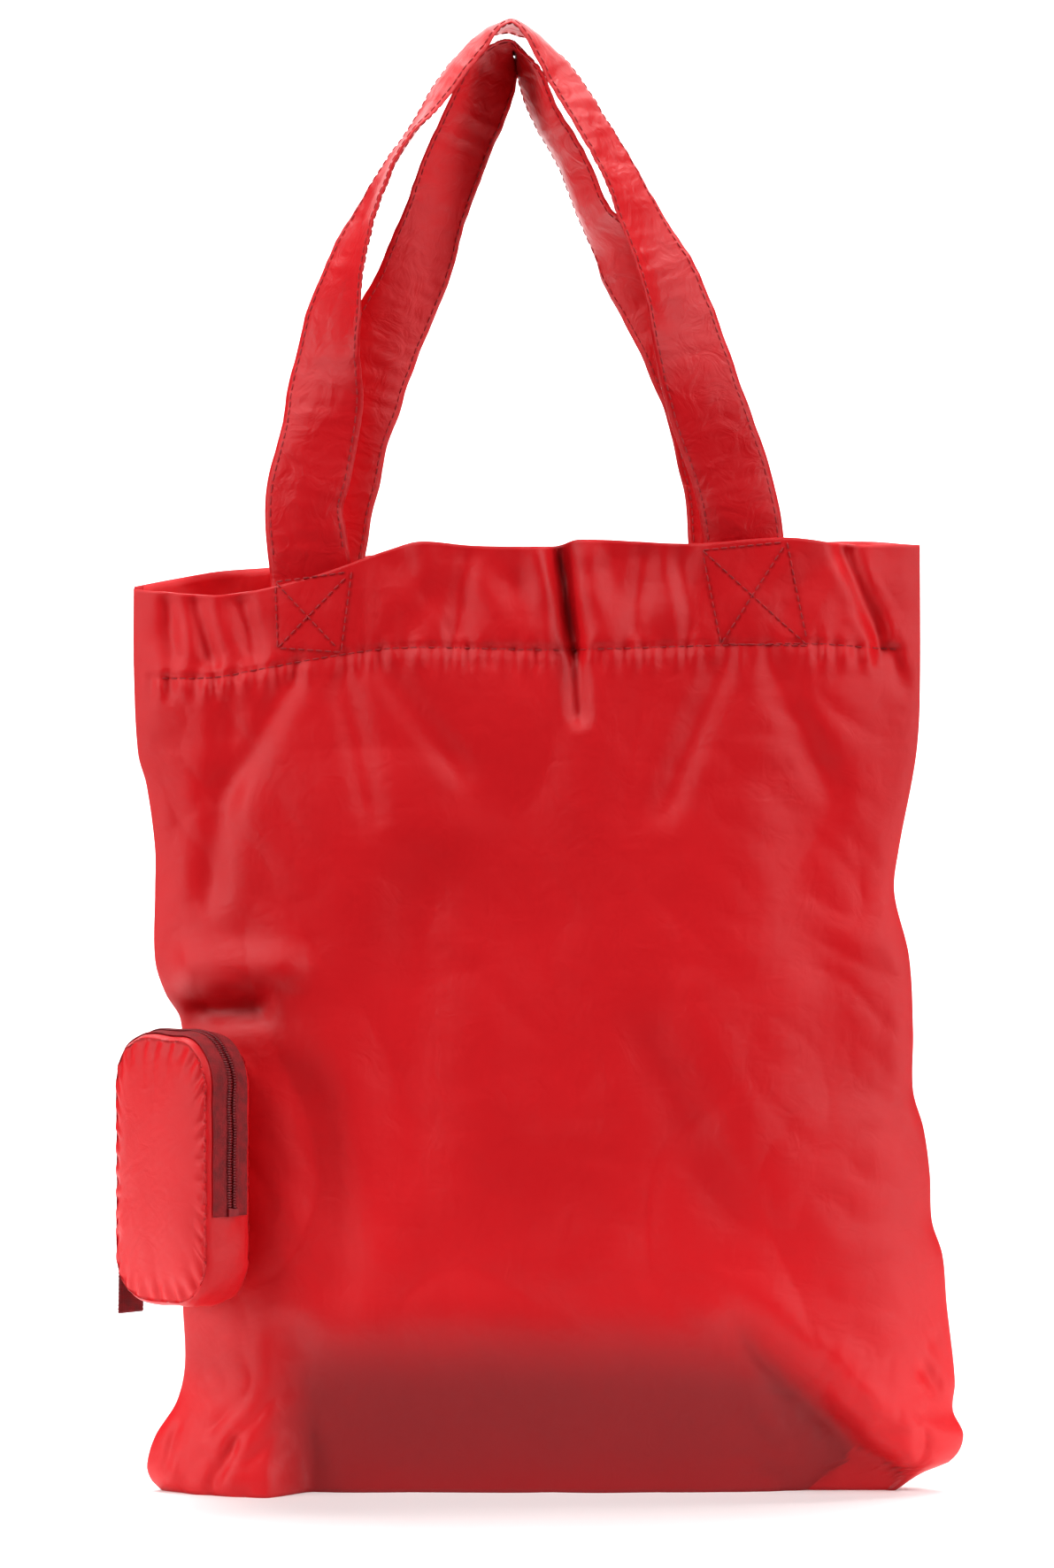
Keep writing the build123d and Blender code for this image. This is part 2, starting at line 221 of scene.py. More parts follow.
def painted_fold_shade(x, z, side):
    """Painted shade: how much darker the satin's colour is made where it is tucked under or turned from the
    light.
    """
    if side > 0:
        # Painted shade on the back: darker towards the base.
        return 0.35 * (1 - smooth_step(40, 90, z))
    # Painted shade on the front: under the tuck at the base, along the slanting crease, in the hem's middle
    # pleat and in the dent above the pouch.
    middle = tuck_share(x, z, (-142, -108), (-6, 26))
    tucked = 0.72 * middle * (1 - smooth_step(48, 100, z))
    off_crease = (x - CREASE_X) * CREASE_ACROSS_X + (z - CREASE_Z) * CREASE_ACROSS_Z
    crease = 0.14 * hump(off_crease, 12) * smooth_step(110, 140, z) * (1 - smooth_step(215, 240, z))
    pleat = 0.45 * hump(x - 6, 5) * smooth_step(365, 400, z)
    dent = 0.3 * hump(z - 229, 7) * (1 - smooth_step(-145, -120, x))
    return min(tucked + crease + pleat + dent, DARKEST_SHADE)


def section_share(share):
    return max(1 - abs(2 * share - 1) ** 5, 0) ** 0.9


def surface(share, z, side, lift=0.0):
    """A point on the front (side -1) or back (side 1), by share of the width and height."""
    left, right = value_on(LEFT_SEAM, z), value_on(RIGHT_SEAM, z)
    x = left + share * (right - left)
    inside = smooth_step(0, 0.05, min(share, 1 - share))
    y = value_on(HALF_DEPTH, z) * section_share(share)
    y = max(y - cloth_depth(x, z, side) * inside, 0) + lift
    return Vector((x, side * y, z))


def on_cloth(x, z, side, lift):
    """The point of the cloth at this x and z, in metres."""
    left, right = value_on(LEFT_SEAM, z), value_on(RIGHT_SEAM, z)
    return surface((x - left) / (right - left), z, side, lift) * MM


# ---------------------------------------------------------------- mesh helpers


def mesh_piece(name, verts, faces, material):
    mesh = bpy.data.meshes.new(name)
    mesh.from_pydata([tuple(v) for v in verts], [], faces)
    mesh.update()
    mesh.materials.append(material)
    mesh.shade_smooth()
    piece = bpy.data.objects.new(name, mesh)
    bpy.context.scene.collection.objects.link(piece)
    return piece


def thicken(piece, thickness, offset=-1):
    """Give a sheet its cloth thickness, baked into the mesh."""
    solid = piece.modifiers.new("thickness", "SOLIDIFY")
    solid.thickness = thickness
    solid.offset = offset
    bake(piece)


def bake(piece):
    graph = bpy.context.evaluated_depsgraph_get()
    baked = bpy.data.meshes.new_from_object(piece.evaluated_get(graph))
    piece.modifiers.clear()
    piece.data = baked


def grid_faces(rows, columns, closed=False):
    faces = []
    last = columns if closed else columns - 1
    for row in range(rows - 1):
        for column in range(last):
            a = row * columns + column
            b = row * columns + (column + 1) % columns
            faces.append((a, b, b + columns, a + columns))
    return faces


def threads(name, stitches, radius, material):
    """Short plump stitches: each runs from one point to another and rounds off at its ends."""
    verts, faces = [], []
    rings = [(0.0, 0.25), (0.12, 0.85), (0.5, 1.0), (0.88, 0.85), (1.0, 0.25)]
    sides = 6
    for start, end in stitches:
        along = (end - start).normalized()
        across = along.cross(Vector((0.31, 0.87, 0.38))).normalized()
        up = along.cross(across)
        base = len(verts)
        for share, size in rings:
            middle = start.lerp(end, share)
            for k in range(sides):
                angle = 2 * math.pi * k / sides
                verts.append(middle + (across * math.cos(angle) + up * math.sin(angle)) * radius * size)
        for a, b, c, d in grid_faces(len(rings), sides, closed=True):
            faces.append((base + a, base + b, base + c, base + d))
        faces.append(tuple(base + k for k in reversed(range(sides))))
        faces.append(tuple(base + (len(rings) - 1) * sides + k for k in range(sides)))
    return mesh_piece(name, verts, faces, material)


STITCH = 3.2
STITCH_PITCH = 4.2
STITCH_RADIUS = 0.00042
FIRST_STITCH = 0.4
BOX_THREAD_LIFT = 0.35
HEM_THREAD_LIFT = 0.25
HEM_THREAD_START = -184
HEM_THREAD_LENGTH = 350


def stitch_run(start, end, side):
    """Stitches on the cloth along a straight run between two (x, z) places."""
    length = math.dist(start, end)
    count = max(int(length / STITCH_PITCH), 1)
    stitches = []
    for k in range(count):
        s0 = (k * STITCH_PITCH + FIRST_STITCH) / length
        s1 = min(s0 + STITCH / length, 1)
        ends = []
        for s in (s0, s1):
            x = start[0] + s * (end[0] - start[0])
            z = start[1] + s * (end[1] - start[1])
            ends.append(on_cloth(x, z, side, BOX_THREAD_LIFT))
        stitches.append(tuple(ends))
    return stitches


# ---------------------------------------------------------------- materials


def shader(name, colour, roughness):
    material = bpy.data.materials.new(name)
    material.use_nodes = True
    nodes = material.node_tree.nodes
    principled = nodes["Principled BSDF"]
    principled.inputs["Base Color"].default_value = (*colour, 1)
    principled.inputs["Roughness"].default_value = roughness
    return material, nodes, material.node_tree.links, principled


def colour_variation(nodes, links, principled, dark, light, scale, low=0.0, high=1.0):
    """Blend two colours by noise, in object space."""
    place = nodes.new("ShaderNodeTexCoord")
    cloud = nodes.new("ShaderNodeTexNoise")
    cloud.inputs["Scale"].default_value = scale
    cloud.inputs["Detail"].default_value = 4
    links.new(place.outputs["Object"], cloud.inputs["Vector"])
    ramp = nodes.new("ShaderNodeValToRGB")
    ramp.color_ramp.elements[0].position = 0.35
    ramp.color_ramp.elements[0].color = (*dark, 1)
    ramp.color_ramp.elements[1].position = 0.65
    ramp.color_ramp.elements[1].color = (*light, 1)
    links.new(cloud.outputs["Fac"], ramp.inputs["Fac"])
    links.new(ramp.outputs["Color"], principled.inputs["Base Color"])
    worn = nodes.new("ShaderNodeMapRange")
    worn.inputs["To Min"].default_value = low
    worn.inputs["To Max"].default_value = high
    links.new(cloud.outputs["Fac"], worn.inputs["Value"])
    links.new(worn.outputs["Result"], principled.inputs["Roughness"])
    return place


def weave_bump(nodes, links, principled, place, pitch, strength, wrinkle=0.0):
    """Crossed threads, and small soft creases over them."""
    waves = []
    for direction in ("X", "Z"):
        wave = nodes.new("ShaderNodeTexWave")
        wave.bands_direction = direction
        wave.inputs["Scale"].default_value = 0.314 / pitch
        wave.inputs["Distortion"].default_value = 0.6
        links.new(place.outputs["Object"], wave.inputs["Vector"])
        waves.append(wave)
    cross = nodes.new("ShaderNodeMath")
    cross.operation = "MULTIPLY"
    links.new(waves[0].outputs["Fac"], cross.inputs[0])
    links.new(waves[1].outputs["Fac"], cross.inputs[1])
    fine = nodes.new("ShaderNodeBump")
    fine.inputs["Strength"].default_value = strength
    fine.inputs["Distance"].default_value = 0.0002
    links.new(cross.outputs["Value"], fine.inputs["Height"])
    soft = nodes.new("ShaderNodeTexNoise")
    soft.inputs["Scale"].default_value = 75
    soft.inputs["Detail"].default_value = 3
    soft.inputs["Distortion"].default_value = 1.2
    links.new(place.outputs["Object"], soft.inputs["Vector"])
    creases = nodes.new("ShaderNodeBump")
    creases.inputs["Strength"].default_value = wrinkle
    creases.inputs["Distance"].default_value = 0.002
    links.new(soft.outputs["Fac"], creases.inputs["Height"])
    links.new(fine.outputs["Normal"], creases.inputs["Normal"])
    links.new(creases.outputs["Normal"], principled.inputs["Normal"])


def cloth_material(name, dark, light, roughness, wrinkle):
    """Satin nylon: a saturated red with a faint pale sheen."""
    material, nodes, links, principled = shader(name, light, roughness)
    principled.inputs["Specular IOR Level"].default_value = 0.36
    principled.inputs["Sheen Weight"].default_value = 0.04
    principled.inputs["Sheen Roughness"].default_value = 0.4
    principled.inputs["Sheen Tint"].default_value = (1.0, 0.55, 0.55, 1)
    place = colour_variation(nodes, links, principled, dark, light, 9, roughness - 0.05, roughness + 0.06)
    weave_bump(nodes, links, principled, place, 0.00045, 0.35, wrinkle)
    return material


def paint_shade_into_folds(material):
    """Paint shade into the colour: mix it towards a deep red by the mesh's per-vertex painted shade value.
    """
    nodes, links = material.node_tree.nodes, material.node_tree.links
    principled = nodes["Principled BSDF"]
    colour = principled.inputs["Base Color"].links[0].from_socket
    shade = nodes.new("ShaderNodeAttribute")
    shade.attribute_name = "painted_fold_shade"
    mix = nodes.new("ShaderNodeMix")
    mix.data_type = "RGBA"
    mix_inputs = {socket.identifier: socket for socket in mix.inputs}
    # The deepest painted shade, a dark red.
    mix_inputs["B_Color"].default_value = (0.17, 0.001, 0.003, 1)
    links.new(shade.outputs["Fac"], mix_inputs["Factor_Float"])
    links.new(colour, mix_inputs["A_Color"])
    result = next(socket for socket in mix.outputs if socket.identifier == "Result_Color")
    links.new(result, principled.inputs["Base Color"])


def plain_weave(name, dark, light, roughness, pitch):
    """Matt woven cloth with threads at this pitch, in metres."""
    material, nodes, links, principled = shader(name, light, roughness)
    place = colour_variation(nodes, links, principled, dark, light, 240, roughness - 0.06, roughness + 0.1)
    weave_bump(nodes, links, principled, place, pitch, 0.8)
    return material


def enamel(name, dark, light, roughness, metallic):
    """Painted metal or moulded coil, slightly uneven in colour and gloss."""
    material, nodes, links, principled = shader(name, light, roughness)
    principled.inputs["Metallic"].default_value = metallic
    place = colour_variation(nodes, links, principled, dark, light, 400, roughness - 0.05, roughness + 0.12)
    weave_bump(nodes, links, principled, place, 0.0006, 0.05)
    return material


SATIN = cloth_material("satin_nylon", (0.63, 0.003, 0.007), (0.74, 0.004, 0.009), 0.37, 0.18)
# The body's satin carries painted shade: darker where the cloth tucks under, in creases, in the dent above
# the pouch and towards the base of the back.
SATIN_WITH_PAINTED_SHADE = cloth_material("satin_painted_shade", (0.63, 0.003, 0.007), (0.74, 0.004, 0.009), 0.37, 0.18)
paint_shade_into_folds(SATIN_WITH_PAINTED_SHADE)
STRAP = cloth_material("folded_nylon", (0.58, 0.003, 0.007), (0.72, 0.004, 0.009), 0.34, 0.5)
THREAD = plain_weave("red_thread", (0.40, 0.006, 0.010), (0.56, 0.012, 0.018), 0.5, 0.0003)
TAPE = plain_weave("zip_tape", (0.22, 0.003, 0.006), (0.36, 0.005, 0.010), 0.75, 0.0006)
COIL = enamel("zip_coil", (0.16, 0.005, 0.009), (0.24, 0.008, 0.013), 0.35, 0)
METAL = enamel("red_enamel", (0.22, 0.006, 0.010), (0.32, 0.010, 0.016), 0.3, 0.4)
WEBBING = plain_weave("grosgrain", (0.12, 0.002, 0.005), (0.22, 0.003, 0.008), 0.7, 0.0007)

# ---------------------------------------------------------------- bag body

COLUMNS = 300
ROWS = 210
BASE_STEPS = 10
HEM_SHARE = 0.86
CLOTH_THICKNESS = 0.0006
BODY_HEIGHT = 440
MOUTH_Z = 430


def row_height(v, x, rim):
    """Rows crowd evenly below and above the hem's stitch row, so it runs along the mesh."""
    hem = value_on(HEM, x)
    if v < HEM_SHARE:
        return hem * v / HEM_SHARE
    return hem + (value_on(rim, x) - hem) * (v - HEM_SHARE) / (1 - HEM_SHARE)


def column_share(k):
    """Columns crowd towards the seams, where the section curves."""
    t = k / COLUMNS
    return t - 0.11 * math.sin(2 * math.pi * t) * 0.9


def make_body():
    verts = []
    ring = [(k, -1) for k in range(COLUMNS + 1)] + [(k, 1) for k in range(COLUMNS - 1, 0, -1)]
    for row in range(ROWS + 1):
        v = row / ROWS
        for k, side in ring:
            share = column_share(k)
            near_z = v * BODY_HEIGHT
            near_x = value_on(LEFT_SEAM, near_z) * (1 - share) + value_on(RIGHT_SEAM, near_z) * share
            z = row_height(v, near_x, RIM if side < 0 else BACK_RIM)
            if k in (0, COLUMNS):
                z = row_height(v, near_x, RIM)
            verts.append(surface(share, z, side) * MM)
    faces = grid_faces(ROWS + 1, len(ring), closed=True)
    base = {}
    for k in range(1, COLUMNS):
        front, back = k, len(ring) - k
        base[k, 0], base[k, BASE_STEPS] = front, back
        for step in range(1, BASE_STEPS):
            base[k, step] = len(verts)
            verts.append(verts[front].lerp(verts[back], step / BASE_STEPS))
    for k in range(1, COLUMNS - 1):
        for step in range(BASE_STEPS):
            faces.append((base[k, step], base[k, step + 1], base[k + 1, step + 1], base[k + 1, step]))
    for corner, k in ((0, 1), (COLUMNS, COLUMNS - 1)):
        for step in range(BASE_STEPS):
            a, b = base[k, step], base[k, step + 1]
            faces.append((corner, b, a) if corner == 0 else (corner, a, b))
    body = mesh_piece("bag_cloth", verts, faces, SATIN_WITH_PAINTED_SHADE)
    # Painted shade per vertex, which the body's satin mixes into its colour.
    shade = body.data.attributes.new("painted_fold_shade", "FLOAT", "POINT")
    for index, vertex in enumerate(body.data.vertices):
        x, y, z = vertex.co / MM
        shade.data[index].value = painted_fold_shade(x, z, -1 if y < 0 else 1)
    thicken(body, CLOTH_THICKNESS)
    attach(body, "bag")
    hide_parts("front_panel", "back_panel", "base_panel")
    return body


HEM_FOLD_DEPTH = 1.6


def make_inner_hem(side, rim):
    """Turned-in layer of the hem, just inside the mouth."""
    columns, rows = 160, 14
    verts = []
    for row in range(rows + 1):
        for k in range(columns + 1):
            share = 0.012 + 0.976 * k / columns
            x = value_on(LEFT_SEAM, MOUTH_Z) * (1 - share) + value_on(RIGHT_SEAM, MOUTH_Z) * share
            low, high = value_on(HEM, x) - 2, value_on(rim, x) - 0.4
            z = low + (high - low) * row / rows
            inset = HEM_FOLD_DEPTH * (1 - 0.6 * (row / rows) ** 6)
            verts.append(surface(share, z, side, -inset) * MM)
    name = "front" if side < 0 else "back"
    hem = mesh_piece(f"{name}_hem_lining", verts, grid_faces(rows + 1, columns + 1), SATIN)
    thicken(hem, 0.0004, 0)
    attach(hem, "bag")
    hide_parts(f"{name}_hem")


def make_hem_stitches(side):
    stitches = []
    steps = int(HEM_THREAD_LENGTH / STITCH_PITCH)
    for k in range(steps):
        x0 = HEM_THREAD_START + k * STITCH_PITCH
        x1 = x0 + STITCH
        ends = [on_cloth(x, value_on(HEM, x), side, HEM_THREAD_LIFT) for x in (x0, x1)]
        stitches.append(tuple(ends))
    name = "front" if side < 0 else "back"
    row = threads(f"{name}_hem_thread", stitches, STITCH_RADIUS, THREAD)
    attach(row, "bag")
    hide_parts(f"{name}_hem_stitch")
    return row


# Corners of the stitched boxes as seen on the front: low left, high left, high right, low right.
BOXES = {
    "left": [(-129, 400), (-130, 431), (-94, 436), (-99, 398)],
    "right": [(80, 402), (71, 446), (111, 450), (121, 401)],
}


def make_box_stitches(side):
    name = "front" if side < 0 else "back"
    for place, (low_left, high_left, high_right, low_right) in BOXES.items():
        runs = [
            (low_left, high_left), (high_left, high_right), (high_right, low_right), (low_right, low_left),
            (low_left, high_right), (high_left, low_right),
        ]
        stitches = [stitch for start, end in runs for stitch in stitch_run(start, end, side)]
        box = threads(f"{name}_box_thread_{place}", stitches, STITCH_RADIUS, THREAD)
        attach(box, "bag")
        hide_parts(f"{name}_box_stitch_{place}")


def make_seam_binding(left):
    """Overlocked seam allowance that stands inwards from a side corner."""
    seam = LEFT_SEAM if left else RIGHT_SEAM
    inward = 1 if left else -1
    rows, columns = 150, 6
    verts = []
    for row in range(rows + 1):
        z = 10 + (value_on(RIM, -198 if left else 175) - 14) * row / rows
        for k in range(columns + 1):
            wave = 0.9 * math.sin(z * 0.21) * k / columns
            x = value_on(seam, z) + inward * (1.5 + 8 * k / columns)
            verts.append(Vector((x, wave, z)) * MM)
    name = "left" if left else "right"
    binding = mesh_piece(f"{name}_seam_allowance", verts, grid_faces(rows + 1, columns + 1), STRAP)
    thicken(binding, 0.0009, 0)
    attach(binding, "bag")
    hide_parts(f"{name}_seam")


def make_base_binding():
    """Seam allowance that stands up inside the edge of the base."""
    columns, rows = 220, 4
    verts = []
    for row in range(rows + 1):
        z = 0.9 + 7 * row / rows
        for k in range(columns):
            angle = k / columns * 2
            side = -1 if angle < 1 else 1
            share = 0.03 + 0.94 * (angle if angle < 1 else 2 - angle)
            verts.append(surface(share, z, side, -1.8) * MM)
    binding = mesh_piece("base_seam_allowance", verts, grid_faces(rows + 1, columns, closed=True), STRAP)
    thicken(binding, 0.0009, 0)
    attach(binding, "bag")
    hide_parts("base_seam")


# ---------------------------------------------------------------- handles

STRAP_WIDTH = 39.5
STRAP_THICKNESS = 2.2
EDGE_STITCH_INSET = 2.8
STRAP_STEP = 1.6

# Route of each strap's middle line: x, distance out from the middle plane, z, turn of its width.
FRONT_ROUTE = [
    (-113, 9, 398, 0), (-113, 10, 430, 0), (-115, 13, 448, 0), (-116.5, 14.5, 468, 0), (-112, 14, 488, 0),
    (-108.5, 13.5, 506, 8), (-106.5, 13, 525, 22), (-104, 12, 545, 37), (-99.5, 10.5, 568, 51),
    (-92, 9, 593, 64), (-81.5, 6.5, 617, 76), (-70.5, 5, 638, 80), (-56.5, 3, 657, 71), (-43, 2, 677, 68),
    (-31, 1, 690, 72), (-19, 1, 695, 88), (-7, 2, 688, 104), (9, 3, 666, 118), (20.5, 5, 646, 118),
    (31, 6, 626, 122), (43.4, 8, 598, 130), (56, 10, 572, 142), (65.5, 12, 541, 160), (72, 13, 519, 172),
    (78, 13.5, 501, 178), (84, 14, 484, 180), (88.7, 14, 465, 180), (91, 12, 448, 180), (92, 9.5, 430, 180),
    (92, 9, 402, 180),
]
BACK_ROUTE = [
    (-111, 9, 398, 0), (-110, 10, 430, 0), (-107, 13, 448, 0), (-102, 14.5, 475, 0), (-93, 14, 510, 4),
    (-80, 13, 545, 14), (-66, 12, 575, 28), (-57, 10, 602, 36), (-48, 8, 628, 38), (-36, 5, 656, 40),
    (-28, 3, 674, 50), (-18, 2, 685, 80), (-11, 4, 674, 106), (-3, 6, 652, 110), (10.5, 9, 627, 112),
    (20, 11, 605, 116), (36, 13, 584, 146), (52, 14, 562, 166), (63, 14, 540, 174), (72, 14.5, 519, 178),
    (78, 14.5, 495, 180), (83, 14.5, 470, 180), (85, 13, 448, 180), (88, 10, 430, 180), (90, 9, 402, 180),
]


def strap_rows(route, side):
    """Frames along the strap: middle, width direction, face direction and arc length."""
    lengths = [0.0]
    for a, b in zip(route, route[1:]):
        lengths.append(lengths[-1] + math.dist(a[:3], b[:3]))
    columns = [[(s, point[axis]) for s, point in zip(lengths, route)] for axis in range(4)]

    def middle(s):
        x, out, z = (value_on(columns[axis], s) for axis in range(3))
        return Vector((x, side * out, z))

    rows = []
    steps = int(lengths[-1] / STRAP_STEP)
    for k in range(steps + 1):
        s = lengths[-1] * k / steps
        along = (middle(min(s + 1, lengths[-1])) - middle(max(s - 1, 0))).normalized()
        turn = math.radians(value_on(columns[3], s))
        across = Vector((math.cos(turn), side * math.sin(turn), 0))
        across = (across - along * across.dot(along)).normalized()
        rows.append((middle(s), across, along.cross(across) * side, s))
    return rows


def strap_profile():
    """Cross-section of the folded strap: share of half width, share of half thickness."""
    count = 20
    top = []
    for k in range(count + 1):
        u = -1 + 2 * k / count
        rounding = math.sqrt(max(1 - abs(u) ** 14, 0))
        seam = 0.42 * hump((1 - abs(u)) * STRAP_WIDTH / 2 - EDGE_STITCH_INSET, 0.9)
        top.append((u, 0.12 + rounding * (0.75 + 0.25 * (1 - u * u)) - seam))
    return top + [(u, -h) for u, h in reversed(top)]


def strap_ripple(u, s, seed):
    """Creases across the strap: small ones close together and slow broad ones."""
    ladder = noise.noise(Vector((u * 0.6, s / 5.5, seed)))
    slow = noise.noise(Vector((u * 0.9, s / 34, seed + 4)))
    return 0.5 * ladder + 1.6 * slow


SEWN_REACH = 90
STRAP_CUP = 3.2
STRAP_NARROWING = 0.05
UNSTITCHED_ROWS = 30


def on_strap(row, total, seed, u, height):
    """Point of the strap in metres, at share u of its half width and this height off its middle."""
    middle, across, face, s = row
    free = smooth_step(0, SEWN_REACH, min(s, total - s))
    cup = STRAP_CUP * free * math.sin(s / 41 + seed)
    bow = cup * (u * u - 0.4) + free * strap_ripple(u, s, seed)
    pulled_in = STRAP_NARROWING * free * (1 + noise.noise(Vector((s / 19, seed, 2))))
    wide = u * STRAP_WIDTH / 2 * (1 - pulled_in)
    return (middle + across * wide + face * (bow + height)) * MM


def make_strap(name, route, side, seed):
    rows = strap_rows(route, side)
    total = rows[-1][3]
    profile = strap_profile()
    verts = [on_strap(row, total, seed, u, h * STRAP_THICKNESS / 2) for row in rows for u, h in profile]
    count = len(profile)
    faces = grid_faces(len(rows), count, closed=True)
    faces.append(tuple(reversed(range(count))))
    faces.append(tuple((len(rows) - 1) * count + k for k in range(count)))
    strap = mesh_piece(f"{name}_handle_cloth", verts, faces, STRAP)

    stitches = []
    per_stitch = STITCH_PITCH / STRAP_STEP
    span = STITCH / STRAP_STEP
    stitch_u = 1 - 2 * EDGE_STITCH_INSET / STRAP_WIDTH
    stitch_height = 0.36 * STRAP_THICKNESS + 0.1

    def stitch_end(row, edge, facing):
        low = min(int(row), len(rows) - 2)
        ends = [
            on_strap(rows[index], total, seed, edge * stitch_u, facing * stitch_height)
            for index in (low, low + 1)
        ]
        return ends[0].lerp(ends[1], row - low)

    for edge in (-1, 1):
        for facing in (-1, 1):
            row = float(UNSTITCHED_ROWS)
            while row + span < len(rows) - UNSTITCHED_ROWS:
                stitches.append((stitch_end(row, edge, facing), stitch_end(row + span, edge, facing)))
                row += per_stitch
    thread = threads(f"{name}_handle_thread", stitches, STITCH_RADIUS, THREAD)

    joint = next(j for j in frame["joints"] if j["name"] == f"{name}_handle_swing")
    axis_point, axis = Vector(joint["pos_m"]), Vector(joint["axis"])
    up = axis.cross(Vector((0, 1, 0))).normalized()
    up = up if up.z > 0 else -up
    for piece in (strap, thread):
        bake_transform(piece)
    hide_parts(f"{name}_handle_strap", f"{name}_handle_end_left", f"{name}_handle_end_right")


# ---------------------------------------------------------------- pouch

POUCH = Vector((-173.5, -27, 0))
POUCH_TURN = math.radians(-45)
POUCH_HALF_WIDTH = 35
POUCH_HALF_DEPTH = 14
POUCH_LOW, POUCH_HIGH = 90, 220
POUCH_CORNER = 24
POUCH_SLACK = -2.6
ZIP_NEAR_Z = 135
ZIP_FAR_Z = 128
TAPE_HALF_WIDTH = 10.5


def in_pouch(x, y, z):
    """From the pouch's own frame to the bag's, in metres."""
    turn_x = Vector((math.cos(POUCH_TURN), math.sin(POUCH_TURN), 0))
    turn_y = Vector((-math.sin(POUCH_TURN), math.cos(POUCH_TURN), 0))
    return (POUCH + turn_x * x + turn_y * y + Vector((0, 0, z))) * MM


def outline_length():
    straight = 2 * (2 * POUCH_HALF_WIDTH + POUCH_HIGH - POUCH_LOW - 4 * POUCH_CORNER)
    return straight + 2 * math.pi * POUCH_CORNER


def outline_at(s, grow=0.0):
    """Point and outward direction of the pouch's outline, s along it from its low near corner up."""
    radius = POUCH_CORNER
    tall = POUCH_HIGH - POUCH_LOW - 2 * radius
    wide = 2 * (POUCH_HALF_WIDTH - radius)
    quarter = math.pi * radius / 2
    middle_z = (POUCH_HIGH + POUCH_LOW) / 2
    s %= outline_length()
    runs = [
        (tall, (1, 0), (POUCH_HALF_WIDTH - radius, -tall / 2), (0, 1)),
        (wide, (0, 1), (POUCH_HALF_WIDTH - radius, tall / 2), (-1, 0)),
        (tall, (-1, 0), (-POUCH_HALF_WIDTH + radius, tall / 2), (0, -1)),
        (wide, (0, -1), (-POUCH_HALF_WIDTH + radius, -tall / 2), (1, 0)),
    ]
    for length, out, start, way in runs:
        if s <= length:
            x = start[0] + way[0] * s + out[0] * (radius + grow)
            z = start[1] + way[1] * s + out[1] * (radius + grow)
            return Vector((x, 0, z + middle_z)), Vector((out[0], 0, out[1]))
        s -= length
        if s <= quarter:
            angle = math.atan2(out[1], out[0]) + s / radius
            x = start[0] + way[0] * length + math.cos(angle) * (radius + grow)
            z = start[1] + way[1] * length + math.sin(angle) * (radius + grow)
            return Vector((x, 0, z + middle_z)), Vector((math.cos(angle), 0, math.sin(angle)))
        s -= quarter
    return outline_at(0, grow)


def wall_sag(y, s):
    """How far the pouch's wall bulges out between its two edges."""
    bulge = 1.6 * (1 - (y / POUCH_HALF_DEPTH) ** 2)
    return bulge + 0.7 * noise.noise(Vector((s / 13, y / 9, 4)))


def make_pouch():
    """Plump closed pouch: wall, seamed edges and two domed faces."""
    around = 260
    length = outline_length()
    wall = [-14, -13.2, -11.5, -9, -6, -3, 0, 3, 6, 9, 11.5, 13.2, 14]
    face_rings = [0.985, 0.955, 0.91, 0.85, 0.78, 0.7, 0.6, 0.5, 0.4, 0.3, 0.2, 0.1, 0.03]
    middle = Vector((0, 0, (POUCH_HIGH + POUCH_LOW) / 2))

    def face_ring(scale, side):
        ring = []
        for k in range(around):
            point, _ = outline_at(length * k / around, POUCH_SLACK)
            inner = middle + (point - middle) * scale
            dome = 5.5 * (1 - scale**3) ** 0.8
            wrinkle = 1.6 * ridges(inner.x * 1.4, inner.z * 0.8, 19, 31 + side)
            wrinkle *= smooth_step(0, 0.25, 1 - scale) * smooth_step(0.2, 0.8, scale)
            radial = 0.9 * math.sin(k * 0.83 + 2 * noise.noise(Vector((k / 9, 0, 1))))
            radial *= hump(scale - 0.93, 0.06)
            y = side * (POUCH_HALF_DEPTH + dome - 0.35 * wrinkle + radial - 1.2)
            ring.append(in_pouch(inner.x, y, inner.z))
        return ring

    rings = [face_ring(scale, -1) for scale in reversed(face_rings)]
    for y in wall:
        ring = []
        for k in range(around):
            s = length * k / around
            pinch = -1.4 * hump(abs(y) - POUCH_HALF_DEPTH, 1.2)
            point, _ = outline_at(s, wall_sag(y, s) + pinch + POUCH_SLACK)
            ring.append(in_pouch(point.x, y, point.z))
        rings.append(ring)
    rings += [face_ring(scale, 1) for scale in face_rings]
    verts = [v for ring in rings for v in ring]
    faces = grid_faces(len(rings), around, closed=True)
    faces.append(tuple(reversed(range(around))))
    faces.append(tuple(range((len(rings) - 1) * around, len(rings) * around)))
    pouch = mesh_piece("pouch_cloth", verts, [tuple(reversed(face)) for face in faces], SATIN)
    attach(pouch, "pouch")
    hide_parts("pouch_front", "pouch_back", "pouch_wall")


def zip_span():
    """Start and end of the zip along the pouch's outline."""
    low = POUCH_LOW + POUCH_CORNER
    tall = POUCH_HIGH - POUCH_LOW - 2 * POUCH_CORNER
    over_top = tall + math.pi * POUCH_CORNER + 2 * (POUCH_HALF_WIDTH - POUCH_CORNER)
    return ZIP_NEAR_Z - low, over_top + POUCH_HIGH - POUCH_CORNER - ZIP_FAR_Z


